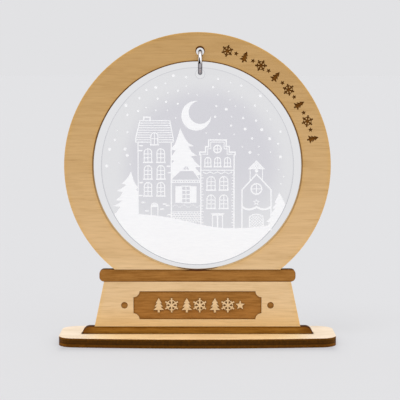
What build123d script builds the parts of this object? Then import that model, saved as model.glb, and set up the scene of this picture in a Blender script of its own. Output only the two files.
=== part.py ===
from build123d import *
import math
import os

# Flat stand-up snow globe decoration in millimetres.
# +Z is up, the viewer is on the -Y side, and the origin is the centre of the base plate's underside.

# ---------------------------------------------------------------- sheet stock
SHEET = 3.0                # plywood thickness
ACRYLIC = 2.0              # clear disc thickness
ENGRAVE = 0.4              # depth of the laser-engraved areas

# ----------------------------------------------------------------- base plate
BASE_WIDTH = 91.7          # between the straight short ends
BASE_DEPTH = 27.3          # between the crowns of the bowed long edges
BASE_BOW = 2.58            # how much deeper the plate is at its middle than at its ends, on each side
BASE_CORNER = 5.5
SLOT_LENGTH = 76.9
SLOT_WIDTH = 3.2
PANEL_Y = -1.4             # mid-plane of the upright panel and of the slot

# ----------------------------------------------------- upright panel, heights
FOOT_BOTTOM = 0.1          # the foot ends just above the plate's underside
FOOT_TOP = 5.4
BAND_BOTTOM = 20.45
BAND_TOP = 24.55
RING_Z = 58.9              # centre of the round frame
RING_R = 44.0
OPENING_R = 34.45

# ------------------------------------------------------ upright panel, widths
FOOT_WIDTH = 76.7
FOOT_CORNER = 2.4
PEDESTAL_FOOT_WIDTH = 68.55
PEDESTAL_TOP_WIDTH = 62.15
BAND_WIDTH = 65.2
BAND_CORNER = 1.5

# ------------------------------------------------- plaque and studs, engraved
PLAQUE_Z = 12.55
PLAQUE_WIDTH = 42.6
PLAQUE_HEIGHT = 9.4
PLAQUE_NOTCH_R = 2.0
STUD_X = 24.3
STUD_R = 1.1
MOTIF_TALL = 4.8           # height of the raised ornaments in the plaque
PLAQUE_PAIRS = 3           # each pair is a tree and a snowflake
PLAQUE_FIRST_X = -12.9     # middle of the first tree
PLAQUE_PAIR_PITCH = 9.35
PLAQUE_TREE_TO_FLAKE = 4.3
PLAQUE_STAR_X = 14.2
PLAQUE_STAR_R = 1.6

# --------------------------------------------- ornaments engraved on the ring
ARC_R = 39.1
ARC_START = 75.5           # degrees from +X, at the upper end of the row
ARC_END = 13.5
ARC_PATTERN = ["flake", "star", "tree", "star"]
ARC_COUNT = 15
ARC_TALL = 3.9
ARC_STAR_R = 0.85
LINE = 0.5                 # width of an engraved line
CROSS_BAR = 0.4            # width of the bar across a snowflake's arm

# ----------------------------------- ornament shapes, as shares of their height
TREE_TIER_WIDTHS = [0.42, 0.58, 0.74]
TREE_TIER_TALL = 0.36
TREE_TIER_STEP = 0.235
TRUNK_WIDTH = 0.14
TRUNK_TALL = 0.18
CROSS_BAR_PLACE = 0.31     # how far out along the arm it is
CROSS_BAR_LONG = 0.30
STAR_WAIST = 0.45          # inner corners' radius as a share of the outer radius

# --------------------------------------------------- hanging hardware and disc
HANG_X = 0.88              # both hanging holes sit a little right of the centre line
HOLE_Z = 96.55
HOLE_R = 1.3
WIRE = 1.4
JUMP_RING_OD = 8.36
JUMP_RING_Z = 93.08
SPLIT_GAP = 0.12
SPLIT_ANGLE = 62.0         # degrees from the ring's lowest point, towards the front

DISC_Z = 58.7
DISC_HALF_WIDTH = 31.85
DISC_HALF_HEIGHT = 32.75
DISC_HOLE_R = 1.45
DISC_HOLE_TOP = 90.66


# ------------------------------------------------------------------- ornaments
def tree(height):
    """Fir tree outline, centred on its own middle, with three tiers and a trunk."""
    tier = height * TREE_TIER_TALL
    outline = Sketch()
    for step, width in enumerate(TREE_TIER_WIDTHS):
        top = height / 2 - step * height * TREE_TIER_STEP
        half = height * width / 2
        outline += make_face(Polyline((0, top), (half, top - tier), (-half, top - tier), close=True))
    trunk = Rectangle(height * TRUNK_WIDTH, height * TRUNK_TALL, align=(Align.CENTER, Align.MIN))
    return outline + Pos(0, -height / 2) * trunk


def flake(height):
    """Six-armed snowflake with one cross bar on each arm."""
    arms = Rectangle(LINE, height)
    bar = Pos(0, height * CROSS_BAR_PLACE) * Rectangle(height * CROSS_BAR_LONG, CROSS_BAR)
    outline = Sketch()
    for turn in range(3):
        outline += Rot(0, 0, 60 * turn) * arms
    for turn in range(6):
        outline += Rot(0, 0, 60 * turn) * bar
    return outline


def star(radius):
    """Five-pointed star standing on two points."""
    points = []
    for corner in range(10):
        reach = radius if corner % 2 == 0 else radius * STAR_WAIST
        angle = math.radians(90 + 36 * corner)
        points.append((reach * math.cos(angle), reach * math.sin(angle)))
    return make_face(Polyline(*points, close=True))


def plaque_ornaments():
    """Row of raised trees and snowflakes with one star at its right end."""
    row = Pos(PLAQUE_STAR_X, PLAQUE_Z) * star(PLAQUE_STAR_R)
    for pair in range(PLAQUE_PAIRS):
        x = PLAQUE_FIRST_X + pair * PLAQUE_PAIR_PITCH
        row += Pos(x, PLAQUE_Z) * tree(MOTIF_TALL)
        row += Pos(x + PLAQUE_TREE_TO_FLAKE, PLAQUE_Z) * flake(MOTIF_TALL)
    return row


def ring_ornaments():
    """Row of ornaments that follows the upper right of the ring, each one upright along its radius."""
    row = Sketch()
    step = (ARC_END - ARC_START) / (ARC_COUNT - 1)
    for place in range(ARC_COUNT):
        angle = ARC_START + place * step
        kind = ARC_PATTERN[place % len(ARC_PATTERN)]
        if kind == "flake":
            shape = flake(ARC_TALL)
        elif kind == "tree":
            shape = tree(ARC_TALL)
        else:
            shape = star(ARC_STAR_R)
        row += Pos(0, RING_Z) * Rot(0, 0, angle - 90) * Pos(0, ARC_R) * shape
    return row


# ------------------------------------------------------------- panel outlines
def pedestal():
    """Tapered block between the foot and the upper band."""
    low = PEDESTAL_FOOT_WIDTH / 2
    high = PEDESTAL_TOP_WIDTH / 2
    corners = [(-low, FOOT_TOP), (low, FOOT_TOP), (high, BAND_BOTTOM), (-high, BAND_BOTTOM)]
    return make_face(Polyline(*corners, close=True))


def band():
    """Upper band with rounded ends, under the ring."""
    height = BAND_TOP - BAND_BOTTOM
    return Pos(0, (BAND_TOP + BAND_BOTTOM) / 2) * RectangleRounded(BAND_WIDTH, height, BAND_CORNER)


def foot():
    """Lower band, whose lower part is the tenon that fills the slot."""
    height = FOOT_TOP - FOOT_BOTTOM
    block = Pos(0, (FOOT_TOP + FOOT_BOTTOM) / 2) * Rectangle(FOOT_WIDTH, height)
    return fillet(block.vertices().group_by(Axis.Y)[-1], FOOT_CORNER)


def plaque():
    """Plate outline with a concave quarter round at each corner."""
    outline = Rectangle(PLAQUE_WIDTH, PLAQUE_HEIGHT)
    for x in (-1, 1):
        for z in (-1, 1):
            outline -= Pos(x * PLAQUE_WIDTH / 2, z * PLAQUE_HEIGHT / 2) * Circle(PLAQUE_NOTCH_R)
    return Pos(0, PLAQUE_Z) * outline


def panel_holes():
    """Round opening for the disc and the small hanging hole above it."""
    return Pos(0, RING_Z) * Circle(OPENING_R) + Pos(HANG_X, HOLE_Z) * Circle(HOLE_R)


def upright(back_y, outline, thickness):
    """Extrudes an X-Z outline from its back face towards the viewer."""
    return extrude(Plane((0, back_y, 0), x_dir=(1, 0, 0), z_dir=(0, -1, 0)) * outline, amount=thickness)


# ----------------------------------------------------------------------- parts
def make_base_plate():
    """Plate with bowed long edges and a through slot for the panel's foot."""
    end = BASE_WIDTH / 2
    crown = BASE_DEPTH / 2
    corner = crown - BASE_BOW
    outline = make_face([
        ThreePointArc((-end, -corner), (0, -crown), (end, -corner)),
        Line((end, -corner), (end, corner)),
        ThreePointArc((end, corner), (0, crown), (-end, corner)),
        Line((-end, corner), (-end, -corner)),
    ])
    outline = fillet(outline.vertices(), BASE_CORNER)
    outline -= Pos(0, PANEL_Y) * Rectangle(SLOT_LENGTH, SLOT_WIDTH)
    return extrude(outline, amount=SHEET)


def make_globe_panel():
    """One sheet: a full outline behind, and a front layer with the engraved areas left out."""
    ring = Pos(0, RING_Z) * Circle(RING_R)
    studs = Pos(STUD_X, PLAQUE_Z) * Circle(STUD_R) + Pos(-STUD_X, PLAQUE_Z) * Circle(STUD_R)
    outline = ring + pedestal() + band() + foot() - panel_holes()
    raised = ring + pedestal() - panel_holes() - band()
    raised -= plaque() - plaque_ornaments()
    raised -= studs
    raised -= ring_ornaments()
    back = PANEL_Y + SHEET / 2
    sheet = upright(back, outline, SHEET - ENGRAVE)
    return sheet + upright(back - SHEET + ENGRAVE, raised, ENGRAVE)


def make_engraved_disc():
    """Clear oval disc with its hanging hole close to the top edge."""
    outline = Pos(0, DISC_Z) * Ellipse(DISC_HALF_WIDTH, DISC_HALF_HEIGHT)
    outline -= Pos(HANG_X, DISC_HOLE_TOP - DISC_HOLE_R) * Circle(DISC_HOLE_R)
    return upright(PANEL_Y + ACRYLIC / 2, outline, ACRYLIC)


def make_jump_ring():
    """Round wire bent into an upright ring that stands across the panel, with a butt split."""
    reach = (JUMP_RING_OD - WIRE) / 2
    gap = math.degrees(SPLIT_GAP / reach)
    section = Plane.XZ * Pos(reach, 0) * Circle(WIRE / 2)
    wire = revolve(section, Axis.Z, revolution_arc=360 - gap)
    across = Rot(0, 90, 0) * Rot(0, 0, gap / 2) * wire
    return Pos(HANG_X, PANEL_Y, JUMP_RING_Z) * Rot(-SPLIT_ANGLE, 0, 0) * across


PARTS = {
    "base_plate": make_base_plate,
    "globe_panel": make_globe_panel,
    "engraved_disc": make_engraved_disc,
    "jump_ring": make_jump_ring,
}

os.makedirs("parts", exist_ok=True)
for name, make in PARTS.items():
    solid = make()
    export_step(solid, os.path.join("parts", name + ".step"))
    size = solid.bounding_box().size
    print(f"{name}: {len(solid.solids())} solid, {size.X:.2f} x {size.Y:.2f} x {size.Z:.2f} mm")
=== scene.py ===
import math
import random

import bmesh
import bpy
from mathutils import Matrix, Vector
from mathutils.geometry import delaunay_2d_cdt


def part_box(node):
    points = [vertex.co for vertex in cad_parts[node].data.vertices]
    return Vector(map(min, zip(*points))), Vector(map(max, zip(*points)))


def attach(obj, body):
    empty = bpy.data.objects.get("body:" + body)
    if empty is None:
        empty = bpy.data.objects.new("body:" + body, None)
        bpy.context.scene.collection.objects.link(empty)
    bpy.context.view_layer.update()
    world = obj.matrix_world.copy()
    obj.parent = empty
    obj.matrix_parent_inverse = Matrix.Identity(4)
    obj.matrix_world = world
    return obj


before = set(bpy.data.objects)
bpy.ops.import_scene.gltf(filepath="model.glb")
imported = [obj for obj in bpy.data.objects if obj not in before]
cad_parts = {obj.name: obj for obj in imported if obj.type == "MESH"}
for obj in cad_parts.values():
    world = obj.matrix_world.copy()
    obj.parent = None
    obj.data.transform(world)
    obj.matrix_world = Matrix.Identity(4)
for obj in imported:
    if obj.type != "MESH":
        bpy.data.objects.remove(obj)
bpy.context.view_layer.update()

MM = 0.001


def corners(node):
    """A node's lowest and highest corners in millimetres."""
    low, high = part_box(node)
    return Vector(low) / MM, Vector(high) / MM


# ---- places, in millimetres
PANEL_LOW, PANEL_HIGH = corners("globe_panel")
DISC_LOW, DISC_HIGH = corners("engraved_disc")
BASE_LOW, BASE_HIGH = corners("base_plate")
WIRE_LOW, WIRE_HIGH = corners("jump_ring")

DISC_MIDDLE = (DISC_LOW + DISC_HIGH) / 2
DISC_HALF_WIDTH = (DISC_HIGH.x - DISC_LOW.x) / 2
DISC_HALF_HEIGHT = (DISC_HIGH.z - DISC_LOW.z) / 2
DISC_HOLE_Z, DISC_HOLE_R = 89.21, 1.45
ART_RISE = 0.35            # how far the drawing's origin is above the disc's middle
ART_Z = DISC_MIDDLE.z + ART_RISE
RING_R = (PANEL_HIGH.x - PANEL_LOW.x) / 2
RING_Z = PANEL_HIGH.z - RING_R
OPENING_R = 34.45
HANG_X = (WIRE_LOW.x + WIRE_HIGH.x) / 2
HOLE_Z, HOLE_R = 96.55, 1.3
ENGRAVE = 0.4              # depth of the engraved areas
BAND_LOW, BAND_HIGH, BAND_HALF = 20.45, 24.55, 32.6
FOOT_HIGH, FOOT_HALF, FOOT_CORNER = 5.4, 38.35, 2.4
PEDESTAL_HALF = 34.27      # at the foot's top
PEDESTAL_LEAN = 0.2126     # how much narrower per millimetre of height
PLAQUE_Z, PLAQUE_HALF, PLAQUE_TALL = 12.55, 21.3, 9.4
SLOT_Y, SLOT_HALF, SLOT_WIDE = -1.4, 38.45, 3.2


def screen(r, g, b):
    """An 8-bit screen colour as the linear colour that shaders use."""
    channels = []
    for value in (r, g, b):
        share = value / 255
        channels.append(share / 12.92 if share <= 0.04045 else ((share + 0.055) / 1.055) ** 2.4)
    return (*channels, 1.0)


# ---- camera, light, floor
CAMERA_PLACE = (0.84, -473.8, 90.0)
CAMERA_PITCH = 5.13        # degrees below level
FILM_WIDTH, FOCAL_LENGTH = 36, 128.7
CLIP_NEAR, CLIP_FAR = 0.01, 100

# Name, strength, angular size, azimuth and elevation of each lamp, the last three in degrees.
LAMPS = [("key", 0.90, 25, -25, 58), ("fill", 0.36, 60, 30, 35)]

BACKGROUND = screen(226, 226, 228)
FLOOR_HALF = 30            # metres from the floor's middle to its sides
FLOOR_ALBEDO = (0.73, 0.73, 0.7373)
FLOOR_MATT = 0.4           # the share of the floor's look that comes from the lamps
FLOOR_GLOW = 0.6           # the share that is the background's own brightness

# The contact shadow starts inside the base plate's outline, and is narrower beside its short ends.
SHADOW_INSET_X, SHADOW_INSET_Y = 2.0, 1.0
SHADOW_REACH = 20.0
SHADOW_END_RATE = 3.0
CONTACT_SHADOW = [
    (0.05, (0.68, 0.68, 0.70, 1)),
    (0.18, (0.83, 0.83, 0.845, 1)),
    (0.36, (0.945, 0.945, 0.95, 1)),
    (0.60, (0.985, 0.985, 0.987, 1)),
    (1.0, (1.0, 1.0, 1.0, 1)),
]


def make_camera():
    """A long lens a little above the object's middle, tipped slightly down."""
    data = bpy.data.cameras.new("camera")
    data.sensor_width = FILM_WIDTH
    data.lens = FOCAL_LENGTH
    data.clip_start = CLIP_NEAR
    data.clip_end = CLIP_FAR
    camera = bpy.data.objects.new("camera", data)
    camera.location = [place * MM for place in CAMERA_PLACE]
    camera.rotation_euler = (math.radians(90 - CAMERA_PITCH), 0, 0)
    bpy.context.collection.objects.link(camera)
    bpy.context.scene.camera = camera


def make_world():
    """Even pale light from all round."""
    world = bpy.data.worlds.new("studio")
    world.use_nodes = True
    world.node_tree.nodes["Background"].inputs["Color"].default_value = BACKGROUND
    bpy.context.scene.world = world


def make_sun(name, strength, angle, azimuth, elevation):
    """A large soft lamp. Azimuth is from the front, to the viewer's right."""
    data = bpy.data.lights.new(name, "SUN")
    data.energy = strength
    data.angle = math.radians(angle)
    sun = bpy.data.objects.new(name, data)
    turn = math.radians(azimuth)
    rise = math.radians(elevation)
    towards = Vector((math.sin(turn) * math.cos(rise), -math.cos(turn) * math.cos(rise), math.sin(rise)))
    sun.rotation_euler = towards.to_track_quat("Z", "Y").to_euler()
    bpy.context.collection.objects.link(sun)


def make_floor():
    """Plain pale floor, as bright under the lamps as the backdrop, so that no line shows between them."""
    paper = matt("floor_paper", (*[FLOOR_MATT * share for share in FLOOR_ALBEDO], 1))
    tree = paper.node_tree
    shader = tree.nodes["Principled BSDF"]
    _, at, _ = surface(tree)
    beside = past(tree, off(tree, at["X"]), BASE_HIGH.x - SHADOW_INSET_X)
    before = past(tree, off(tree, at["Y"]), BASE_HIGH.y - SHADOW_INSET_Y)
    away = hypot(tree, times(tree, beside, SHADOW_END_RATE), before)
    shade = ramp(tree, calc(tree, "DIVIDE", away, SHADOW_REACH), CONTACT_SHADOW)
    plug(tree, shader.inputs["Emission Color"], mix(tree, 1.0, shade, BACKGROUND, "MULTIPLY"))
    shader.inputs["Emission Strength"].default_value = FLOOR_GLOW

    mesh = bpy.data.meshes.new("floor")
    corner = FLOOR_HALF
    outline = [(-corner, -corner, 0), (corner, -corner, 0), (corner, corner, 0), (-corner, corner, 0)]
    mesh.from_pydata(outline, [], [(0, 1, 2, 3)])
    mesh.materials.append(paper)
    floor = bpy.data.objects.new("floor", mesh)
    bpy.context.collection.objects.link(floor)


# ---- shader help
def new_material(name):
    """A node material, its node tree and its main shader."""
    material = bpy.data.materials.new(name)
    material.use_nodes = True
    return material, material.node_tree, material.node_tree.nodes["Principled BSDF"]


def matt(name, colour):
    """An even matt finish, for the stage only."""
    material, _, shader = new_material(name)
    shader.inputs["Base Color"].default_value = colour
    shader.inputs["Roughness"].default_value = 0.9
    shader.inputs["Specular IOR Level"].default_value = 0.0
    return material


def plug(tree, socket, value):
    """Joins a socket to another, or sets it to a value."""
    if isinstance(value, bpy.types.NodeSocket):
        tree.links.new(value, socket)
    else:
        socket.default_value = value


def calc(tree, operation, a, b=0.0, c=0.0):
    """One step of arithmetic on numbers or sockets."""
    node = tree.nodes.new("ShaderNodeMath")
    node.operation = operation
    for socket, value in zip(node.inputs, (a, b, c)):
        plug(tree, socket, value)
    return node.outputs[0]


def times(tree, a, b):
    """The product of two numbers or sockets."""
    return calc(tree, "MULTIPLY", a, b)


def minus(tree, a, b):
    """The number a less b."""
    return calc(tree, "SUBTRACT", a, b)


def step_up(tree, value, low, high):
    """0 below low, 1 above high, and a smooth rise between them."""
    node = tree.nodes.new("ShaderNodeMapRange")
    node.interpolation_type = "SMOOTHSTEP"
    plug(tree, node.inputs["Value"], value)
    plug(tree, node.inputs["From Min"], low)
    plug(tree, node.inputs["From Max"], high)
    return node.outputs["Result"]


def step_down(tree, value, low, high):
    """1 below low, 0 above high."""
    return minus(tree, 1.0, step_up(tree, value, low, high))


def choose(tree, factor, a, b):
    """The number a where factor is 0, and b where it is 1."""
    return calc(tree, "MULTIPLY_ADD", factor, minus(tree, b, a), a)


def hypot(tree, a, b):
    """The length of the vector (a, b)."""
    return calc(tree, "SQRT", calc(tree, "ADD", times(tree, a, a), times(tree, b, b)))


def mix(tree, factor, a, b, mode="MIX"):
    """The colour a where factor is 0, and b, or a blend of both, where it is 1."""
    node = tree.nodes.new("ShaderNodeMix")
    node.data_type = "RGBA"
    node.blend_type = mode
    plug(tree, node.inputs["Factor"], factor)
    colours = [socket for socket in node.inputs if socket.type == "RGBA"]
    plug(tree, colours[0], a)
    plug(tree, colours[1], b)
    return next(socket for socket in node.outputs if socket.type == "RGBA")


def tint(tree, factor, colour, shade):
    """The colour multiplied by a tint, as far as factor says."""
    return mix(tree, factor, colour, (*shade, 1), "MULTIPLY")


def ramp(tree, value, stops):
    """A colour ramp with stops of (place, colour)."""
    node = tree.nodes.new("ShaderNodeValToRGB")
    plug(tree, node.inputs["Fac"], value)
    points = node.color_ramp.elements
    while len(points) < len(stops):
        points.new(0.5)
    for point, (place, colour) in zip(points, stops):
        point.position = place
        point.color = colour
    return node.outputs["Color"]


def noise(tree, where, stretch, detail=3.0, rough=0.5, warp=0.0):
    """Noise between about 0 and 1. Stretch gives its waves per millimetre along X, Y and Z."""
    mapping = tree.nodes.new("ShaderNodeMapping")
    mapping.inputs["Scale"].default_value = stretch
    tree.links.new(where, mapping.inputs["Vector"])
    node = tree.nodes.new("ShaderNodeTexNoise")
    tree.links.new(mapping.outputs["Vector"], node.inputs["Vector"])
    node.inputs["Scale"].default_value = 1.0
    node.inputs["Detail"].default_value = detail
    node.inputs["Roughness"].default_value = rough
    node.inputs["Distortion"].default_value = warp
    return node.outputs["Fac"]


def surface(tree):
    """The point on the surface in millimetres, its X, Y and Z, and how far it faces each way."""
    source = tree.nodes.new("ShaderNodeTexCoord")
    scale = tree.nodes.new("ShaderNodeVectorMath")
    scale.operation = "SCALE"
    tree.links.new(source.outputs["Object"], scale.inputs[0])
    scale.inputs["Scale"].default_value = 1 / MM
    split = tree.nodes.new("ShaderNodeSeparateXYZ")
    tree.links.new(scale.outputs[0], split.inputs[0])
    turned = tree.nodes.new("ShaderNodeSeparateXYZ")
    tree.links.new(source.outputs["Normal"], turned.inputs[0])
    return scale.outputs[0], split.outputs, turned.outputs


def bump(tree, shader, height, distance, strength):
    """Fine relief. Distance is in millimetres."""
    node = tree.nodes.new("ShaderNodeBump")
    node.inputs["Strength"].default_value = strength
    node.inputs["Distance"].default_value = distance * MM
    tree.links.new(height, node.inputs["Height"])
    tree.links.new(node.outputs["Normal"], shader.inputs["Normal"])


def off(tree, value, middle=0.0):
    """How far a value is from a middle, on either side."""
    return calc(tree, "ABSOLUTE", minus(tree, value, middle))


def past(tree, value, start):
    """How far a value is beyond a start, and 0 before it."""
    return calc(tree, "MAXIMUM", minus(tree, value, start), 0.0)


# ---- wood
# Each row: the noise it follows, how it grows with the noise, between which values, and the tint.
BIRCH_TINTING = [
    ("fibre", step_down, 0.32, 0.56, (0.94, 0.925, 0.90)),
    ("fibre", step_up, 0.52, 0.72, (1.045, 1.04, 1.035)),
    ("streak", step_up, 0.54, 0.70, (0.91, 0.885, 0.84)),
    ("streak", step_down, 0.30, 0.46, (1.035, 1.035, 1.035)),
    ("cloud", step_up, 0.45, 0.68, (0.945, 0.93, 0.90)),
]
ENGRAVED_TINTING = [
    ("fibre", step_down, 0.36, 0.56, (0.80, 0.75, 0.62)),
    ("fibre", step_up, 0.52, 0.70, (1.14, 1.16, 1.20)),
    ("soot", step_up, 0.52, 0.72, (0.90, 0.87, 0.80)),
]
CHAR_TINTING = [
    ("striations", step_up, 0.48, 0.72, (1.5, 1.45, 1.6)),
    ("striations", step_down, 0.30, 0.46, (0.72, 0.70, 0.6)),
]

# By share of the way through the sheet, from its front or underside.
PLY_TONES = [
    (0.0, screen(84, 49, 2)),
    (0.30, screen(96, 56, 4)),
    (0.36, screen(60, 34, 1)),
    (0.62, screen(74, 42, 1)),
    (0.68, screen(62, 36, 1)),
    (0.94, screen(92, 54, 4)),
    (1.0, screen(128, 82, 22)),
]
# By share of the panel's height.
ENGRAVED_TONES = [
    (0.03, screen(156, 106, 36)),
    (0.052, screen(158, 108, 40)),
    (0.08, screen(162, 110, 52)),
    (0.24, screen(160, 109, 51)),
    (0.30, screen(118, 72, 16)),
]
PANEL_TONES = [
    (0.055, screen(222, 186, 132)),
    (0.12, screen(228, 195, 149)),
    (0.22, screen(226, 192, 146)),
    (0.30, screen(221, 184, 135)),
    (0.57, screen(209, 171, 119)),
    (0.75, screen(203, 165, 112)),
    (0.97, screen(197, 158, 104)),
]
# By share of the way from the base plate's middle to its ends. The darker tan middle, in front of the
# panel, is painted shade from the panel.
BASE_TONES_AND_SHADE = [
    (0.0, screen(247, 211, 158)),
    (0.50, screen(250, 217, 165)),
    (0.70, screen(253, 226, 182)),
    (0.84, screen(254, 235, 210)),
]

# Distances are in millimetres. A pair says where a tint starts and stops fading.
SCORCH_FLICKER = 0.12      # how far the noise pushes the scorch lines out
OPENING_SCORCH_OUT = 0.12  # how far out the opening's line stays even
OPENING_SCORCH_FADE = 0.30
OPENING_SCORCH_RISE = (-1.6, 0.75)   # grows with height, in shares of the opening's radius
OPENING_SCORCH = screen(104, 66, 20)
HOLE_SCORCH_LIFT = 0.33
HOLE_SCORCH_FADE = 0.34
HOLE_SCORCH = screen(84, 46, 2)
# Darker along the engraved pockets' edges: partly burn, partly painted shade in the recess.
POCKET_EDGE, POCKET_EDGE_BURN_AND_SHADE = (0.05, 0.40), (0.72, 0.62, 0.45)
# Painted shadow on the band just below the opening.
UNDER_OPENING, UNDER_OPENING_SHADOW_TINT = (0.35, 0.65), (0.22, 0.12, 0.10)
FOOT_TOP_STEP = 0.1        # over which the foot's tone ends
FOOT_END_REACH, FOOT_END_TINT = 6.5, (0.62, 0.52, 0.42)
# Painted shadow along the foot's top, under the raised face.
FOOT_TOP_SHADOW, FOOT_TOP_SHADOW_TINT = (0.1, 0.7), (0.78, 0.68, 0.5)
FOOT_RIM, FOOT_RIM_TINT = (0.45, 0.1), (0.45, 0.36, 0.25)
CUT_TOAST, CUT_TOAST_TINT = (0.1, 1.8), (1.01, 0.98, 0.88)
CUT_GLINT, CUT_GLINT_TINT = (0.0, 0.3), (1.06, 1.04, 1.0)
TOP_GLINT, TOP_GLINT_TINT = (0.05, 0.40), (1.22, 1.22, 1.0)
POCKET_DEPTHS = (0.4, 0.6)  # shares of the depth where the engraved tone starts
FLAT_FACING = (0.4, 0.6)   # from cut edge to flat face
# The upward-facing wall inside the opening is lightened as painted light, except over the band.
UPLIT_WALL_INSET = (0.6, 0.3)   # outside the opening's edge
UPLIT_WALL_FACING = (-0.5, 0.6)
UPLIT_WALL_COLOUR = screen(206, 172, 122)
BAND_CHAR_HALF = (5.6, 7.4)    # over the band, the opening's wall stays charred, without the painted light, this far sideways
BAND_CHAR_DEEP = (1.8, 2.4)    # and this far back
# Round the slot, soot and painted shade from the panel darken the plate.
SLOT_SOOT_AND_SHADE, SLOT_SOOT_AND_SHADE_TINT = (0.0, 2.6), (0.90, 0.84, 0.74)
# A dark line along the slot: partly the cut's char, partly painted shadow in the joint with the panel.
SLOT_SHADOW_LINE, SLOT_SHADOW_LINE_COLOUR = (0.25, 1.15), screen(70, 42, 10)
SLOT_END_RATE = 2.5        # how many times sooner the soot, painted shade and painted shadow line end beyond the slot's ends
# The charred edges lighten towards the plate's ends: a painted highlight at its corners.
BASE_END_REACH, BASE_END_LIGHT_TINT = 4.5, (1.7, 1.75, 2.0)


def tinted(tree, colour, noises, tinting):
    """The colour with each tint of a tinting list laid over it."""
    for name, step, low, high, shade in tinting:
        colour = tint(tree, step(tree, noises[name], low, high), colour, shade)
    return colour


def birch(tree, where, tone):
    """Sanded birch in the given tone: its colour, and its grain's height."""
    noises = {
        "fibre": noise(tree, where, (0.09, 0.6, 1.5), detail=4, rough=0.60, warp=0.5),
        "streak": noise(tree, where, (0.15, 1.5, 2.9), detail=2, rough=0.55, warp=0.3),
        "cloud": noise(tree, where, (0.04, 0.16, 0.20), detail=2, rough=0.5, warp=0.8),
    }
    height = calc(tree, "MULTIPLY_ADD", noises["streak"], 0.5, noises["fibre"])
    return tinted(tree, tone, noises, BIRCH_TINTING), height


def engraved_floor(tree, where, tone):
    """Lasered floor of an engraved area: the grain stands out dark, with fine soot."""
    noises = {
        "fibre": noise(tree, where, (0.13, 0.9, 1.3), detail=4, rough=0.65, warp=0.5),
        "soot": noise(tree, where, (0.8, 0.8, 2.4), detail=3, rough=0.6),
    }
    return tinted(tree, tone, noises, ENGRAVED_TINTING)


def charred_wall(tree, where, across, low, high):
    """Laser-cut edge of a three-ply sheet: two charred outer plies and a browner core."""
    place = calc(tree, "DIVIDE", minus(tree, across, low), high - low)
    noises = {"striations": noise(tree, where, (1.2, 1.2, 1.2), detail=4, rough=0.65)}
    return tinted(tree, ramp(tree, place, PLY_TONES), noises, CHAR_TINTING)


def finish_wood(tree, shader, colour, height):
    """Satin bare wood, a little rougher where the grain stands up."""
    tree.links.new(colour, shader.inputs["Base Color"])
    tree.links.new(calc(tree, "MULTIPLY_ADD", height, 0.16, 0.5), shader.inputs["Roughness"])
    shader.inputs["Specular IOR Level"].default_value = 0.07
    bump(tree, shader, height, distance=0.03, strength=0.35)


def ring_radius(tree, at):
    """How far a point is from the middle of the round frame."""
    return hypot(tree, at["X"], minus(tree, at["Z"], RING_Z))


def outer_margin(tree, at):
    """How far a point is inside the ring's outer edge."""
    return minus(tree, RING_R, ring_radius(tree, at))


def front_edge_margin(tree, at):
    """How far a point on the raised front face is from the nearest cut edge."""
    inner_margin = minus(tree, ring_radius(tree, at), OPENING_R)
    ring = calc(tree, "MINIMUM", outer_margin(tree, at), inner_margin)
    height = minus(tree, at["Z"], FOOT_HIGH)
    half = calc(tree, "MULTIPLY_ADD", height, -PEDESTAL_LEAN, PEDESTAL_HALF)
    pedestal = minus(tree, half, off(tree, at["X"]))
    return choose(tree, step_up(tree, at["Z"], BAND_LOW, BAND_HIGH), pedestal, ring)


def hole_radius(tree, at, height):
    """How far a point is from a hanging hole whose middle is at the given height."""
    return hypot(tree, minus(tree, at["X"], HANG_X), minus(tree, at["Z"], height))


def burnt_rings(tree, where, at):
    """Scorch lines round the opening and the hanging hole, heavier at their tops."""
    flicker = times(tree, noise(tree, where, (0.5, 0.5, 0.5), detail=2), SCORCH_FLICKER)
    out = minus(tree, ring_radius(tree, at), OPENING_R + OPENING_SCORCH_OUT)
    line = step_down(tree, minus(tree, out, flicker), 0.0, OPENING_SCORCH_FADE)
    height = calc(tree, "DIVIDE", minus(tree, at["Z"], RING_Z), OPENING_R)
    opening = times(tree, line, step_up(tree, height, *OPENING_SCORCH_RISE))
    out = minus(tree, hole_radius(tree, at, HOLE_Z + HOLE_SCORCH_LIFT), HOLE_R)
    hole = step_down(tree, minus(tree, out, flicker), 0.0, HOLE_SCORCH_FADE)
    return opening, hole


def pocket_margin(tree, at, half_width, low, high):
    """How far a point is inside an engraved rectangle; negative outside."""
    sideways = minus(tree, half_width, off(tree, at["X"]))
    upright = minus(tree, (high - low) / 2, off(tree, at["Z"], (low + high) / 2))
    return calc(tree, "MINIMUM", sideways, upright)


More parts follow.
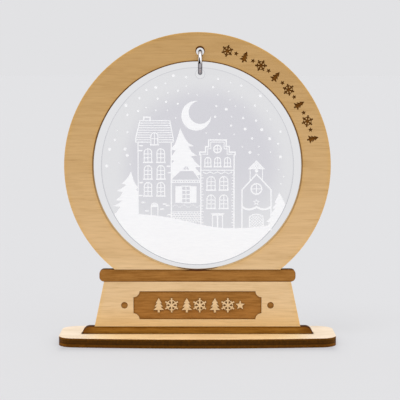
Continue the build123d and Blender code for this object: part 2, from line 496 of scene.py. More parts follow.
def panel_floor_tone_and_shade(tree, at):
    """Engraved tone by height: foot, plaque, band, then the darker ornaments on the ring, with painted
    shade along the pocket edges, under the opening and along the foot's top.
    """
    tone = ramp(tree, calc(tree, "DIVIDE", at["Z"], PANEL_HIGH.z), ENGRAVED_TONES)
    out = off(tree, at["X"])
    foot = step_down(tree, at["Z"], FOOT_HIGH, FOOT_HIGH + FOOT_TOP_STEP)
    foot_end = times(tree, foot, step_up(tree, out, FOOT_HALF - FOOT_END_REACH, FOOT_HALF))
    tone = tint(tree, foot_end, tone, FOOT_END_TINT)
    band = pocket_margin(tree, at, BAND_HALF, BAND_LOW, BAND_HIGH)
    plaque = pocket_margin(tree, at, PLAQUE_HALF, PLAQUE_Z - PLAQUE_TALL / 2, PLAQUE_Z + PLAQUE_TALL / 2)
    margin = off(tree, calc(tree, "MAXIMUM", band, plaque))
    above_foot = minus(tree, 1.0, foot)
    # Burn and painted shade along the pocket edges.
    edge = times(tree, above_foot, step_down(tree, margin, *POCKET_EDGE))
    tone = tint(tree, edge, tone, POCKET_EDGE_BURN_AND_SHADE)
    # Painted shadow just below the opening.
    beyond = minus(tree, ring_radius(tree, at), OPENING_R)
    tone = tint(tree, step_down(tree, beyond, *UNDER_OPENING), tone, UNDER_OPENING_SHADOW_TINT)
    # Painted shadow along the foot's top.
    below = minus(tree, FOOT_HIGH, at["Z"])
    edge = times(tree, foot, step_down(tree, below, *FOOT_TOP_SHADOW))
    tone = tint(tree, edge, tone, FOOT_TOP_SHADOW_TINT)
    beside = past(tree, out, FOOT_HALF - FOOT_CORNER)
    over = past(tree, at["Z"], FOOT_HIGH - FOOT_CORNER)
    rim = step_up(tree, hypot(tree, beside, over), *[FOOT_CORNER - inset for inset in FOOT_RIM])
    return tint(tree, times(tree, foot, rim), tone, FOOT_RIM_TINT)


def panel_material():
    """Birch front with scorched cuts, painted glints along them and along the ring's top edge, engraved
    pockets, and charred edges with painted light on the opening's upward-facing wall.
    """
    material, tree, shader = new_material("laser_cut_birch")
    where, at, facing = surface(tree)
    tone = ramp(tree, calc(tree, "DIVIDE", at["Z"], PANEL_HIGH.z), PANEL_TONES)
    wood, height = birch(tree, where, tone)
    margin = front_edge_margin(tree, at)
    wood = tint(tree, step_down(tree, margin, *CUT_TOAST), wood, CUT_TOAST_TINT)
    wood = tint(tree, step_down(tree, margin, *CUT_GLINT), wood, CUT_GLINT_TINT)
    outside = step_down(tree, outer_margin(tree, at), *TOP_GLINT)
    top_edge = times(tree, outside, step_up(tree, at["Z"], RING_Z, PANEL_HIGH.z))
    wood = tint(tree, top_edge, wood, TOP_GLINT_TINT)
    opening, hole = burnt_rings(tree, where, at)
    wood = mix(tree, opening, wood, OPENING_SCORCH)
    wood = mix(tree, hole, wood, HOLE_SCORCH)

    wall_facing, flat_facing = FLAT_FACING
    front = step_down(tree, facing["Y"], -flat_facing, -wall_facing)
    deep = step_up(tree, at["Y"], *[PANEL_LOW.y + ENGRAVE * share for share in POCKET_DEPTHS])
    floor = engraved_floor(tree, where, panel_floor_tone_and_shade(tree, at))
    colour = mix(tree, times(tree, front, deep), wood, floor)

    char = charred_wall(tree, where, at["Y"], PANEL_LOW.y, PANEL_HIGH.y)
    # Painted light on the opening's upward-facing wall.
    inside = step_up(tree, outer_margin(tree, at), *[RING_R - OPENING_R - inset for inset in UPLIT_WALL_INSET])
    uplit = times(tree, inside, step_up(tree, facing["Z"], *UPLIT_WALL_FACING))
    beside_band = step_up(tree, off(tree, at["X"]), *BAND_CHAR_HALF)
    behind_band = step_up(tree, at["Y"], *[PANEL_LOW.y + depth for depth in BAND_CHAR_DEEP])
    clear_of_band = calc(tree, "MAXIMUM", beside_band, behind_band)
    char = mix(tree, times(tree, uplit, clear_of_band), char, UPLIT_WALL_COLOUR)
    wall = step_down(tree, off(tree, facing["Y"]), *FLAT_FACING)
    finish_wood(tree, shader, mix(tree, wall, colour, char), height)
    return material


def base_material():
    """Paler birch with painted shade in its middle, soot and painted shade round the slot, a painted
    shadow line along it, and charred edges with painted light towards the ends.
    """
    material, tree, shader = new_material("base_birch")
    where, at, facing = surface(tree)
    out = off(tree, at["X"])
    # The plate's tone is darker in the middle as painted shade from the panel.
    wood, height = birch(tree, where, ramp(tree, calc(tree, "DIVIDE", out, BASE_HIGH.x), BASE_TONES_AND_SHADE))
    beside = times(tree, past(tree, out, SLOT_HALF), SLOT_END_RATE)
    slot = hypot(tree, beside, past(tree, off(tree, at["Y"], SLOT_Y), SLOT_WIDE / 2))
    # Soot and painted shade round the slot.
    wood = tint(tree, step_down(tree, slot, *SLOT_SOOT_AND_SHADE), wood, SLOT_SOOT_AND_SHADE_TINT)
    # Painted shadow line, with the cut's char, along the slot.
    wood = mix(tree, step_down(tree, slot, *SLOT_SHADOW_LINE), wood, SLOT_SHADOW_LINE_COLOUR)
    char = charred_wall(tree, where, at["Z"], BASE_LOW.z, BASE_HIGH.z)
    # Painted light: the charred edges lighten towards the plate's ends.
    char = tint(tree, step_up(tree, out, BASE_HIGH.x - BASE_END_REACH, BASE_HIGH.x), char, BASE_END_LIGHT_TINT)
    wall = step_down(tree, off(tree, facing["Z"]), *FLAT_FACING)
    finish_wood(tree, shader, mix(tree, wall, wood, char), height)
    return material


# ---- acrylic and metal
# A painted shade greys the middle of the sheet a little, like the shading of a globe.
MIDDLE_SHADE_X, MIDDLE_SHADE_DROP = 1.2, 0.6         # the painted shade's middle, from the panel's middle and the drawing's origin
MIDDLE_SHADE_DRIFT = 4.0                     # how far noise pushes the painted shade's outline in
MIDDLE_SHADE_FADE = (23.2, 31.2)             # radii between which it fades
MIDDLE_SHADE_RISE, MIDDLE_SHADE_LOW_SHARE = (-24, 4), 0.35   # it grows to full between these heights
MIDDLE_SHADE_TINT, CLEAR_TINT = (0.936, 0.932, 0.951, 1), (0.993, 0.993, 0.994, 1)
# Painted grey lines at the disc's edge and round its hole, and a greyer rim, stand in for the light that
# these edges bend.
EDGE_LINE = (0.989, 0.995)           # shares of the disc's radius
HOLE_LINE = (0.15, 0.3)              # outside the hole's edge
EDGE_LINE_TINT = (0.93, 0.93, 0.94)
DISC_RIM_FACING, DISC_RIM_TINT = (0.75, 0.95), (0.80, 0.81, 0.82, 1)
MIRROR_LEAST, MIRROR_GROWTH, MIRROR_POWER = 0.02, 0.6, 5.0

# Chrome, whose colour carries painted reflections: bright above, a dark streak, a dark top and side, and a
# duller lower half. Depths are below the point where the dark streak starts, and distances from the wire's
# middle.
STREAK_TOP = 1.9           # below the top of the wire
STREAK_SPREAD = 0.13       # half width gained per millimetre down
STREAK_SHIFT = 0.18        # to the viewer's left
STREAK_BLUR = 0.06
STREAK_END = (2.6, 3.0)
DULL_START = (2.2, 3.0)
DULL_RIM = (0.22, 0.62)
# Painted dark reflections on the wire's top and on one side.
DARK_TOP_FACING = (0.80, 0.88)
DARK_SIDE_FACING, DARK_SIDE_END = (0.6, 0.9), (0.2, 0.6)
# The crown is made less metallic so that it shows partly as diffuse white: painted light.
CROWN = (2.4, 1.0)         # below the top of the wire
CROWN_METAL_LOSS = 0.4
BRIGHT_REFLECTION_LOW, BRIGHT_REFLECTION_HIGH = screen(232, 231, 233), screen(252, 252, 253)
DULL_REFLECTION_MIDDLE, DULL_REFLECTION_EDGE = screen(186, 182, 186), screen(126, 122, 126)
STREAK_REFLECTION_COLOUR, DARK_REFLECTION_COLOUR = screen(22, 22, 26), screen(22, 20, 20)

RASTER_SHARE = 0.35        # the rest of the frost's shade is grain
FROST_SHADES = (0.35, 0.65)
FROST_LOW, FROST_HIGH = screen(246, 246, 247), screen(252, 252, 252)
REAR_GLOW = 0.42           # painted glow on the frost's back, standing in for the light from the lamps in front that would pass through it
REAR_FACING = (0.2, 0.8)


def acrylic_material():
    """Clear sheet: a painted shade greys what is behind its middle a little, painted lines darken its edge
    and hole, and it mirrors more at a grazing angle.
    """
    material, tree, shader = new_material("clear_acrylic_sheet")
    where, at, facing = surface(tree)
    # Painted shade over the sheet's middle.
    across = minus(tree, at["X"], MIDDLE_SHADE_X)
    up = minus(tree, at["Z"], ART_Z - MIDDLE_SHADE_DROP)
    drift = noise(tree, where, (0.06, 0.06, 0.06), detail=2)
    out = calc(tree, "MULTIPLY_ADD", drift, MIDDLE_SHADE_DRIFT, hypot(tree, across, up))
    rise = step_up(tree, at["Z"], *[ART_Z + height for height in MIDDLE_SHADE_RISE])
    depth = choose(tree, rise, MIDDLE_SHADE_LOW_SHARE, 1.0)
    depth = times(tree, depth, step_down(tree, out, *MIDDLE_SHADE_FADE))
    see_through = mix(tree, depth, CLEAR_TINT, MIDDLE_SHADE_TINT)
    # Painted lines where the disc's edge and hole bend the light.
    across = calc(tree, "DIVIDE", at["X"], DISC_HALF_WIDTH)
    up = calc(tree, "DIVIDE", minus(tree, at["Z"], DISC_MIDDLE.z), DISC_HALF_HEIGHT)
    edge = step_up(tree, hypot(tree, across, up), *EDGE_LINE)
    hole = minus(tree, hole_radius(tree, at, DISC_HOLE_Z), DISC_HOLE_R)
    edge = calc(tree, "MAXIMUM", edge, step_down(tree, hole, *HOLE_LINE))
    see_through = tint(tree, edge, see_through, EDGE_LINE_TINT)
    rim = step_down(tree, off(tree, facing["Y"]), *DISC_RIM_FACING)
    clear = tree.nodes.new("ShaderNodeBsdfTransparent")
    plug(tree, clear.inputs["Color"], mix(tree, rim, see_through, DISC_RIM_TINT))
    gloss = tree.nodes.new("ShaderNodeBsdfGlossy")
    gloss.inputs["Roughness"].default_value = 0.04
    grazing = tree.nodes.new("ShaderNodeLayerWeight")
    grazing.inputs["Blend"].default_value = 0.5
    mirror = calc(tree, "POWER", grazing.outputs["Facing"], MIRROR_POWER)
    blend = tree.nodes.new("ShaderNodeMixShader")
    plug(tree, blend.inputs[0], calc(tree, "MULTIPLY_ADD", mirror, MIRROR_GROWTH, MIRROR_LEAST))
    plug(tree, blend.inputs[1], clear.outputs[0])
    plug(tree, blend.inputs[2], gloss.outputs[0])
    plug(tree, tree.nodes["Material Output"].inputs["Surface"], blend.outputs[0])
    tree.nodes.remove(shader)
    return material


def chrome_material():
    """Bright wire whose colour is painted reflection: white above, dark on top, with one dark streak, and
    a duller lower half; its crown is less metallic, as painted light.
    """
    material, tree, shader = new_material("bright_chrome")
    where, at, facing = surface(tree)
    wear = noise(tree, where, (2.5, 2.5, 2.5), detail=4)
    # Painted reflections: bright above, a dark streak, and a duller lower half.
    bright = mix(tree, wear, BRIGHT_REFLECTION_LOW, BRIGHT_REFLECTION_HIGH)
    drop = minus(tree, WIRE_HIGH.z - STREAK_TOP, at["Z"])
    half = times(tree, drop, STREAK_SPREAD)
    inside = minus(tree, half, off(tree, at["X"], HANG_X - STREAK_SHIFT))
    streak = step_up(tree, inside, -STREAK_BLUR, STREAK_BLUR)
    streak = times(tree, streak, step_down(tree, drop, *STREAK_END))
    dull = mix(tree, step_up(tree, off(tree, at["X"], HANG_X), *DULL_RIM), DULL_REFLECTION_MIDDLE, DULL_REFLECTION_EDGE)
    lower = step_up(tree, drop, *DULL_START)
    colour = mix(tree, streak, mix(tree, lower, bright, dull), STREAK_REFLECTION_COLOUR)
    top = step_up(tree, facing["Z"], *DARK_TOP_FACING)
    side = step_up(tree, facing["X"], *DARK_SIDE_FACING)
    side = times(tree, side, step_down(tree, drop, *DARK_SIDE_END))
    colour = mix(tree, calc(tree, "MAXIMUM", top, side), colour, DARK_REFLECTION_COLOUR)
    plug(tree, shader.inputs["Base Color"], colour)
    crown = step_up(tree, at["Z"], *[WIRE_HIGH.z - depth for depth in CROWN])
    plug(tree, shader.inputs["Metallic"], calc(tree, "MULTIPLY_ADD", crown, -CROWN_METAL_LOSS, 1.0))
    shader.inputs["Specular Tint"].default_value = (0.3, 0.29, 0.29, 1)
    rough = calc(tree, "MULTIPLY_ADD", lower, 0.22, 0.14)
    plug(tree, shader.inputs["Roughness"], calc(tree, "MULTIPLY_ADD", wear, 0.10, rough))
    bump(tree, shader, wear, distance=0.01, strength=0.2)
    return material


def frost_material():
    """Laser-frosted acrylic: matt white with a sandy grain, and a painted glow on its rear."""
    material, tree, shader = new_material("frosted_engraving")
    where, _, facing = surface(tree)
    grain = noise(tree, where, (5.0, 5.0, 5.0), detail=4, rough=0.7)
    raster = noise(tree, where, (0.4, 1.0, 2.4), detail=2)
    sand = times(tree, grain, 1 - RASTER_SHARE)
    shade = calc(tree, "MULTIPLY_ADD", raster, RASTER_SHARE, sand)
    colour = mix(tree, step_up(tree, shade, *FROST_SHADES), FROST_LOW, FROST_HIGH)
    plug(tree, shader.inputs["Base Color"], colour)
    shader.inputs["Roughness"].default_value = 0.85
    shader.inputs["Specular IOR Level"].default_value = 0.1
    shader.inputs["Emission Color"].default_value = (1, 1, 1, 1)
    rear = step_up(tree, facing["Y"], *REAR_FACING)
    plug(tree, shader.inputs["Emission Strength"], times(tree, rear, REAR_GLOW))
    bump(tree, shader, grain, distance=0.02, strength=0.4)
    return material


# ---- plane shapes
SHARPEST_MITRE = 0.35      # cosine at which a mitred corner stops growing
STAR_WAIST = 0.45          # inner corners' radius as a share of the outer radius
RIM_GAP = 0.3              # how far inside the disc's edge the drawing ends


def area(points):
    """Signed area, positive for a counterclockwise outline."""
    total = 0.0
    for (x0, y0), (x1, y1) in zip(points, points[1:] + points[:1]):
        total += x0 * y1 - x1 * y0
    return total / 2


def offset(points, distance, closed):
    """The points moved to their left by distance, with mitred corners."""
    moved = []
    count = len(points)
    for i, (x, y) in enumerate(points):
        sides = []
        if closed or i > 0:
            before = points[i - 1]
            sides.append(Vector((x - before[0], y - before[1])).normalized())
        if closed or i < count - 1:
            after = points[(i + 1) % count]
            sides.append(Vector((after[0] - x, after[1] - y)).normalized())
        normals = [Vector((-side.y, side.x)) for side in sides]
        mitre = sum(normals, Vector((0, 0))).normalized()
        reach = distance / max(mitre.dot(normals[0]), SHARPEST_MITRE)
        moved.append((x + mitre.x * reach, y + mitre.y * reach))
    return moved


def arc(x, y, r, start, end, count, squash=1.0):
    """Points on an arc, angles in degrees."""
    points = []
    for i in range(count):
        angle = math.radians(start + (end - start) * i / (count - 1))
        points.append((x + r * math.cos(angle), y + squash * r * math.sin(angle)))
    return points


def circle(x, y, r, count=20):
    """Points all round a circle."""
    return arc(x, y, r, 0, 360 - 360 / count, count)


def box(left, low, right, high):
    """A rectangle's corners."""
    return [(left, low), (right, low), (right, high), (left, high)]


def star_points(x, y, r):
    """Five-pointed star's outline."""
    points = []
    for corner in range(10):
        reach = r if corner % 2 == 0 else r * STAR_WAIST
        angle = math.radians(90 + 36 * corner)
        points.append((x + reach * math.cos(angle), y + reach * math.sin(angle)))
    return points


def rim_arc(start, end, count):
    """Points just inside the disc's edge, angles in degrees."""
    squash = (DISC_HALF_HEIGHT - RIM_GAP) / (DISC_HALF_WIDTH - RIM_GAP)
    return arc(0, -ART_RISE, DISC_HALF_WIDTH - RIM_GAP, start, end, count, squash)


# ---- the disc's engraving
class Drawing:
    """A picture painted back to front, then cut into frosted pieces.

    Places are (right, up) in millimetres from the drawing's origin on the disc. Each shape frosts what it
    covers, for the piece that it names, or clears it, and a later shape covers an earlier one.
    """

    proud = 0.01           # how far the frost stands in front of the disc's face
    depth = 0.10           # how far it goes in
    snap = 1e-4            # points closer than this become one
    flat = 1               # degrees between faces that still count as one plane

    def __init__(self):
        self.outlines = []
        self.owners = []

    def fill(self, piece, outline):
        """Frosts the inside of an outline."""
        self.outlines.append(outline if area(outline) > 0 else outline[::-1])
        self.owners.append(piece)

    def clear(self, outline):
        """Takes the frost away inside an outline."""
        self.fill(None, outline)

    def line(self, piece, points, width, closed=False):
        """Frosts a line of even width along the points."""
        left = offset(points, width / 2, closed)
        right = offset(points, -width / 2, closed)
        for i in range(len(points) if closed else len(points) - 1):
            j = (i + 1) % len(points)
            self.fill(piece, [right[i], right[j], left[j], left[i]])

    def cut(self, material):
        """Makes one solid for each piece from the parts of the plane that it ends up owning."""
        places = []
        faces = []
        for outline in self.outlines:
            faces.append(list(range(len(places), len(places) + len(outline))))
            places.extend(Vector(point) for point in outline)
        # Output type 1 keeps what lies inside the outlines, and sources says which outlines cover it.
        points, _, triangles, _, _, sources = delaunay_2d_cdt(places, [], faces, 1, self.snap, True)
        owned = {}
        for triangle, covers in zip(triangles, sources):
            owner = self.owners[max(covers)] if covers else None
            if owner:
                owned.setdefault(owner, []).append(triangle)
        for piece in sorted(owned):
            self.solid(piece, points, owned[piece], material)

    def solid(self, piece, points, triangles, material):
        """Makes one thin solid, let into the disc's front, from flat triangles."""
        mesh = bmesh.new()
        corner = {}
        for triangle in triangles:
            for index in triangle:
                if index not in corner:
                    x, z = points[index] + Vector((DISC_MIDDLE.x, ART_Z))
                    corner[index] = mesh.verts.new((x * MM, (DISC_LOW.y - self.proud) * MM, z * MM))
            mesh.faces.new([corner[index] for index in triangle])
        flat = math.radians(self.flat)
        bmesh.ops.dissolve_limit(mesh, angle_limit=flat, verts=mesh.verts, edges=mesh.edges)
        fronts = list(mesh.faces)
        rims = [tuple(edge.verts) for edge in mesh.edges if edge.is_boundary]
        back = Vector((0, (self.proud + self.depth) * MM, 0))
        behind = {vert: mesh.verts.new(vert.co + back) for vert in list(mesh.verts)}
        for face in fronts:
            mesh.faces.new([behind[vert] for vert in reversed(face.verts)])
        for a, b in rims:
            mesh.faces.new((a, b, behind[b], behind[a]))
        bmesh.ops.recalc_face_normals(mesh, faces=mesh.faces)
        data = bpy.data.meshes.new(piece)
        mesh.to_mesh(data)
        mesh.free()
        data.materials.append(material)
        thing = bpy.data.objects.new(piece, data)
        bpy.context.collection.objects.link(thing)
        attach(thing, "disc")


THIN = 0.25                # line widths in the drawing
FINE = 0.31
MEDIUM = 0.42
BOLD = 0.48
HAIR = 0.18
MORTAR = 0.16
SILL_REACH = 0.35          # how far a window's sill sticks out on each side


def arched_window(art, piece, x, y, width, height, bars=(0.34, 0.62)):
    """Round-headed window with a mullion, cross bars and a sill. y is its bottom."""
    half = width / 2
    spring = y + height - half
    art.line(piece, [(x + half, y)] + arc(x, spring, half, 0, 180, 9) + [(x - half, y)], FINE)
    art.line(piece, [(x, y), (x, y + height)], THIN)
    for share in bars:
        level = y + height * share
        art.line(piece, [(x - half, level), (x + half, level)], THIN)
    art.line(piece, [(x - half - SILL_REACH, y), (x + half + SILL_REACH, y)], MEDIUM)


def round_window(art, piece, x, y, r):
    """Round window with a cross."""
    art.line(piece, circle(x, y, r), MEDIUM, closed=True)
    art.line(piece, [(x - r, y), (x + r, y)], THIN)
    art.line(piece, [(x, y - r), (x, y + r)], THIN)


def draw_trees_behind(art):
    """The fir between the houses, and the one against the disc's left edge."""
    right_side = [(-5.7, 12.3), (-4.2, 9.2), (-3.0, 7.5), (-1.25, 6.5), (-3.0, 6.3),
                  (-1.8, 4.4), (-0.15, 3.3), (-2.2, 3.2), (-0.7, 1.2), (1.05, -0.4),
                  (-0.8, -0.5), (0.2, -1.8), (1.5, -2.9), (-0.6, -3.3), (2.0, -5.6)]
    left_side = [(-9.0, -8.0), (-9.6, -0.2), (-7.6, 1.55), (-8.9, 2.0), (-8.4, 3.3),
                 (-7.2, 5.1), (-8.9, 5.3), (-7.4, 7.2), (-6.4, 10.0)]
    art.fill("frost_tree_middle", right_side + left_side)
    left_side = [(-21.95, -1.95), (-23.0, -3.9), (-25.0, -6.0), (-23.5, -6.3), (-24.8, -7.3),
                 (-26.5, -8.3), (-24.7, -8.8), (-25.6, -10.2), (-27.1, -11.5), (-25.0, -11.6),
                 (-26.1, -12.6), (-27.9, -13.35), (-25.5, -13.7), (-27.3, -16.2)]
    right_side = [(-19.0, -16.2), (-19.0, -9.4), (-20.3, -7.9), (-19.7, -7.2), (-21.0, -5.2)]
    art.fill("frost_tree_left", left_side + right_side)


def draw_tree_in_front(art):
    """The fir against the disc's right edge."""
    left_side = [(27.05, -8.8), (26.5, -10.4), (25.5, -12.2), (26.2, -12.4), (24.8, -14.1), (25.6, -14.3),
                 (24.0, -16.4), (24.9, -16.5), (22.8, -18.6), (23.9, -18.9), (23.0, -20.4)]
    art.fill("frost_tree_right", left_side + rim_arc(-42, -22.5, 8))


def draw_town_house(art):
    """Tall house with a striped mansard roof, a dormer and three rows of arched windows."""
    piece = "frost_town_house"
    left, right, base = -19.6, -8.65, -18
    eave, kink, roof = 7.8, 9.2, 14.85
    eave_left, eave_right = left - 0.75, right + 0.65
    roof_left, roof_right = left + 0.65, right - 0.45
    art.clear(box(left, base, right, eave))
    art.line(piece, [(left, eave), (left, -16.3)], FINE)
    art.line(piece, [(right, eave), (right, -17.6)], MEDIUM)
    slope = [(eave_left, eave), (eave_left, kink), (roof_left, roof),
             (roof_right, roof), (eave_right, kink), (eave_right, eave)]
    art.clear(slope)
    art.line(piece, slope, FINE, closed=True)
    courses = 9
    for row in range(1, courses):
        level = eave + (roof - eave) * row / courses
        lean = max(0.0, (level - kink) / (roof - kink))
        start = eave_left + (roof_left - eave_left) * lean
        end = eave_right + (roof_right - eave_right) * lean
        art.line(piece, [(start, level), (end, level)], THIN)
    chimney_left, chimney_right, chimney = -17.7, -15.6, 16.0
    art.line(piece, [(chimney_left, roof), (chimney_left, chimney),
                     (chimney_right, chimney), (chimney_right, roof)], MEDIUM)

    middle, dormer, dormer_spring, dormer_half = -14.2, 6.9, 9.9, 1.4
    art.clear(box(middle - dormer_half, dormer, middle + dormer_half, dormer_spring))
    art.clear(circle(middle, dormer_spring, dormer_half))
    arched_window(art, piece, middle, dormer, 2.3, 4.0, (0.5,))
    for x in (-16.35, -12.1):
        for y in (1.1, -4.45, -10.05):
            arched_window(art, piece, x, y, 2.5, 4.5)

    door_spring, door_half = -13.5, 1.1
    door = arc(middle, door_spring, door_half, 180, 0, 9)
    art.line(piece, [(middle - door_half, -16.8)] + door + [(middle + door_half, -16.9)], FINE)
    art.fill(piece, arc(middle, door_spring - 0.2, door_half - 0.1, 0, 180, 9))
    bricks = [(-18.6, 6.6), (-18.8, 5.0), (-9.6, -0.2), (-9.2, -2.3), (-18.6, -5.6), (-18.8, -9.9),
              (-17.9, -12.2), (-10.9, -12.7), (-9.9, -13.2), (-11.7, -14.4), (-16.7, -15.0), (-9.4, -16.3)]
    brick_half = 0.6
    for x, y in bricks:
        art.line(piece, [(x - brick_half, y), (x + brick_half, y)], MEDIUM)


def draw_small_house(art):
    """Low house with a shuttered window, a garland and a brick footing."""
    piece = "frost_small_house"
    left, right, base, eave = -8.45, 1.0, -20, -4.8
    roof_left, roof_right, roof = -5.4, -1.4, -1.6
    art.clear([(left, base), (right, base), (right, eave), (0.5, -4.3),
               (roof_right, roof), (roof_left, roof), (left, -4.4)])
    art.line(piece, [(roof_left, roof), (roof_right, roof), (0.6, -4.4)], FINE)

    gable_x, gable_foot, gable_top = -3.75, -1.4, 0.4
    art.clear([(-5.0, -1.3), (-2.5, -1.3), (gable_x, 0.6)])
    art.line(piece, [(-5.1, gable_foot), (gable_x, gable_top), (-2.4, gable_foot)], FINE)
    art.line(piece, [(gable_x, gable_top), (gable_x, gable_foot)], THIN)

    rail, post_pitch = 0.75, 0.8
    art.line(piece, [(left, eave), (right, eave)], THIN)
    art.line(piece, [(left, eave - rail), (right, eave - rail)], THIN)
    for post in range(12):
        x = left + 0.35 + post * post_pitch
        art.line(piece, [(x, eave), (x, eave - rail)], THIN)

    window_left, window_right, window_low, window_high = -5.2, -2.4, -12.3, -6.8
    mullion, shutter = -3.8, 2.0
    art.fill(piece, box(-7.3, window_low, -7.3 + shutter, window_high))
    art.fill(piece, box(-2.3, window_low, -2.3 + shutter, window_high))
    art.line(piece, box(window_left, window_low, window_right, window_high), FINE, closed=True)
    art.line(piece, [(mullion, window_low), (mullion, window_high)], THIN)
    for share in (0.25, 0.5, 0.75):
        level = window_low + (window_high - window_low) * share
        art.line(piece, [(window_left, level), (window_right, level)], THIN)

    garland_height, sag, bead_pitch, bead_r = -13.4, 0.4, 0.48, 0.15
    for bead in range(19):
        y = garland_height + sag * math.sin(bead * math.pi / 3)
        art.fill(piece, circle(left + 0.4 + bead * bead_pitch, y, bead_r, 6))

    footing, course, brick_long = -15.3, 0.62, 0.9
    for row in range(6):
        level = footing - row * course
        art.line(piece, [(left, level), (right, level)], HAIR)
        for brick in range(10):
            x = left + 0.3 + brick_long / 2 * (row % 2) + brick * brick_long
            art.line(piece, [(x, level), (x, level - course)], MORTAR)


def draw_gable_house(art):
    """House with a stepped gable, quoins, a zigzag frieze and seven windows."""
    piece = "frost_gable_house"
    left, right, base = 1.1, 12.1, -21
    outline = [(left, base), (left, 3.6), (0.75, 3.6), (0.75, 4.5), (2.7, 4.5), (2.7, 6.3), (3.7, 6.3),
               (3.7, 8.5), (9.5, 8.5), (9.5, 6.3), (10.5, 6.3), (10.5, 4.5), (12.45, 4.5), (12.45, 3.6),
               (right, 3.6), (right, base)]
    art.clear(outline)
    art.line(piece, outline, MEDIUM)
    ledge = [(1.6, 3.8), (3.4, 3.8), (3.4, 5.6), (4.4, 5.6), (4.4, 7.8),
             (8.8, 7.8), (8.8, 5.6), (9.8, 5.6), (9.8, 3.8), (11.6, 3.8)]
    art.line(piece, ledge, THIN)
    round_window(art, piece, 6.6, 5.5, 1.25)
    for x in (3.45, 6.65, 9.95):
        arched_window(art, piece, x, -0.35, 2.0, 3.1, (0.4,))

    frieze, zigzag_top, zigzag_drop, zigzag_pitch = -1.5, -2.05, 0.6, 1.225
    art.line(piece, [(left, frieze), (right, frieze)], FINE)
    zigzag = [(left + 0.6 + i * zigzag_pitch, zigzag_top - zigzag_drop * (i % 2)) for i in range(9)]
    art.line(piece, zigzag, THIN)
    for x in (4.5, 8.7):
        for y in (-8.1, -14.2):
            arched_window(art, piece, x, y, 2.7, 4.5)

    door_left, door_right, door_top, lintel, door_middle = 5.0, 8.3, -16.4, -16.0, 6.65
    door = [(door_left, base), (door_left, door_top), (door_right, door_top), (door_right, base)]
    art.line(piece, door, FINE)
    art.line(piece, [(door_left - 0.5, lintel), (door_right + 0.5, lintel)], MEDIUM)
    art.line(piece, [(door_middle, base), (door_middle, door_top)], BOLD)
    first_quoin, quoin_pitch, long_quoin, short_quoin = -3.1, 0.93, 0.9, 0.6
    for quoin in range(19):
        level = first_quoin - quoin * quoin_pitch
        reach = long_quoin if quoin % 2 else short_quoin
        art.line(piece, [(left, level), (left + reach, level)], THIN)
        art.line(piece, [(right - reach, level), (right, level)], THIN)


def lattice(art, piece, left, low, right, high, pitch):
    """Crossed slats inside a rectangle, without the shortest ones in its corners."""
    tall = high - low
    shortest = 0.4
    for slat in range(1, int((right - left + tall) / pitch)):
        reach = slat * pitch
        x0, x1 = max(left, left + reach - tall), min(right, left + reach)
        y0, y1 = low + left + reach - x0, low + left + reach - x1
        if x1 - x0 > shortest:
            art.line(piece, [(x0, y0), (x1, y1)], HAIR)
            art.line(piece, [(left + right - x0, y0), (left + right - x1, y1)], HAIR)


def draw_chapel(art):
    """Chapel with a belfry, a rose window, a garland and a lattice door."""
    piece = "frost_chapel"
    left, right, middle, base = 14.75, 24.35, 19.5, -21.5
    shoulder, gable = -8.0, -2.8
    for x in (17.4, 21.5):
        art.line(piece, [(x, -5.0), (x, -1.0)], THIN)
    walls = [(left, base), (left, shoulder), (middle, gable), (right, shoulder), (right, base)]
    art.line(piece, walls, MEDIUM)

    roof_left, roof_right, roof_low, roof_top = 17.05, 21.95, -1.0, 1.6
    art.line(piece, [(roof_left, roof_low), (middle, roof_top), (roof_right, roof_low)], FINE, closed=True)
    courses = 6
    for course in range(1, courses):
        share = course / courses
        level = roof_low + (roof_top - roof_low) * share
        inset = (middle - roof_left) * share
        art.line(piece, [(roof_left + inset, level), (roof_right - inset, level)], HAIR)
        art.line(piece, [(roof_left + inset, level), (roof_left + 2 * inset, roof_low)], HAIR)
        art.line(piece, [(roof_right - inset, level), (roof_right - 2 * inset, roof_low)], HAIR)
    bell_height, bell_r = -1.75, 0.55
    art.fill(piece, circle(middle, bell_height, bell_r, 12))

    round_window(art, piece, middle, -7.7, 1.75)
    star_height, star_r, star_line = -12.1, 0.9, 0.2
    art.line(piece, star_points(middle, star_height, star_r), star_line, closed=True)
    garland_height, sag, garland_width, steps = -13.7, 0.8, 0.62, 24
    garland = []
    for step in range(steps + 1):
        share = step / steps
        y = garland_height - sag * abs(math.sin(share * 2 * math.pi))
        garland.append((left + (right - left) * share, y))
    art.line(piece, garland, garland_width)

    door_left, door_right, door_spring = 17.2, 21.8, -17.0
    arch = arc(middle, -17.4, 2.3, 160, 20, 9, 0.55)
    left_jamb = [(door_left, base), (door_left, door_spring)]
    right_jamb = [(door_right, door_spring), (door_right, base)]
    art.line(piece, left_jamb + arch + right_jamb, FINE)
    lattice(art, piece, door_left, -21.4, door_right, -16.6, 0.95)


MOON_X, MOON_Y, MOON_R = -0.4, 16.5, 4.9
MOON_CUT_X, MOON_CUT_Y, MOON_CUT_R = 0.9, 17.6, 3.8


def draw_moon(art):
    """Crescent: a circle with a smaller one cut from its upper right."""
    art.fill("frost_moon", circle(MOON_X, MOON_Y, MOON_R, 56))
    art.clear(circle(MOON_CUT_X, MOON_CUT_Y, MOON_CUT_R, 48))


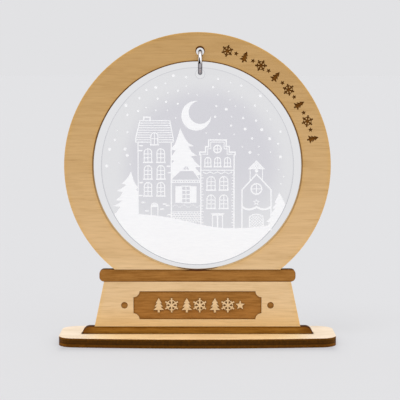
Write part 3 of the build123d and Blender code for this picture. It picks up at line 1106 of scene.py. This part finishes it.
SKY_SHARE = 0.93           # small flakes stay inside this share of the disc's radius
SKYLINE = [                # left, right and top of what stands in the sky's way
    (-21.5, -7.5, 17.0), (-8.7, 1.6, 13.5), (-0.2, 13.2, 9.6),
    (13.7, 25.4, 3.0), (-29, -19, -0.5), (23.5, 31, -7.5),
]
MOON_ROOM = 5.8            # small flakes stay this far from the moon's middle
HANGER_X, HANGER_Y, HANGER_ROOM = 1, 30, 4
LARGE_FLAKE_R = 0.5
SMALL_FLAKES = [0.36] * 24 + [0.22] * 34
FLAKE_ROOM = 2.2           # least gap between two flakes
FLAKE_HALF, FLAKE_LOW, FLAKE_HIGH = 29, -12, 30
TRIES = 100                # draws for one flake before it is left out
SNOW_SEED = 12


def clear_sky(u, v, r):
    """True where a flake of radius r touches nothing else in the drawing."""
    if math.hypot(u / DISC_HALF_WIDTH, v / DISC_HALF_HEIGHT) > SKY_SHARE:
        return False
    if any(low - r < u < high + r and v < top + r for low, high, top in SKYLINE):
        return False
    clear_of_moon = math.hypot(u - MOON_X, v - MOON_Y) > MOON_ROOM + r
    return clear_of_moon and math.hypot(u - HANGER_X, v - HANGER_Y) > HANGER_ROOM + r


def draw_snowfall(art):
    """Large flakes at listed places, and smaller ones scattered between them."""
    rng = random.Random(SNOW_SEED)
    large = [(-29.0, 5.4), (-23.9, 5.5), (-30.0, -0.1), (-23.2, 3.4), (-13.7, 25.8),
             (-7.9, 29.6), (-23.5, 19.9), (9.5, 18.6), (20.7, 23.0), (15.7, 12.1),
             (21.2, 11.9), (23.8, 8.9), (17.3, 4.4), (27.4, 2.9)]
    placed = [(u, v, LARGE_FLAKE_R) for u, v in large]
    for r in SMALL_FLAKES:
        for _ in range(TRIES):
            u, v = rng.uniform(-FLAKE_HALF, FLAKE_HALF), rng.uniform(FLAKE_LOW, FLAKE_HIGH)
            if not clear_sky(u, v, r):
                continue
            if all(math.hypot(u - a, v - b) > FLAKE_ROOM + r + c for a, b, c in placed):
                placed.append((u, v, r))
                break
    for u, v, r in placed:
        art.fill("frost_snowfall", circle(u, v, r, 14))


def draw_hill(art):
    """Snow that fills the lower part, from a long slope to the disc's edge."""
    crest = [(-27.5, -15.7), (-23.8, -15.9), (-19.5, -16.0), (-12.5, -16.7), (-8.7, -17.3),
             (-4.0, -18.4), (0.0, -19.3), (4.9, -20.3), (8.5, -20.7), (12.2, -20.8),
             (16.0, -20.7), (21.4, -20.2), (24.7, -19.6)]
    art.fill("frost_snow_hill", crest + rim_arc(-38.2, -150, 54))


def make_engraving():
    """The disc's whole drawing, painted from the sky forwards."""
    art = Drawing()
    layers = [draw_snowfall, draw_moon, draw_trees_behind, draw_town_house, draw_small_house,
              draw_gable_house, draw_chapel, draw_tree_in_front, draw_hill]
    for draw in layers:
        draw(art)
    art.cut(frost_material())


# ---- build
def dress(node, material):
    """Gives a CAD piece its material."""
    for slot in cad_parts[node].material_slots:
        slot.material = material


bpy.context.scene.view_settings.view_transform = "Standard"
make_camera()
make_world()
for lamp in LAMPS:
    make_sun(*lamp)
make_floor()
dress("globe_panel", panel_material())
dress("base_plate", base_material())
dress("engraved_disc", acrylic_material())
dress("jump_ring", chrome_material())
make_engraving()
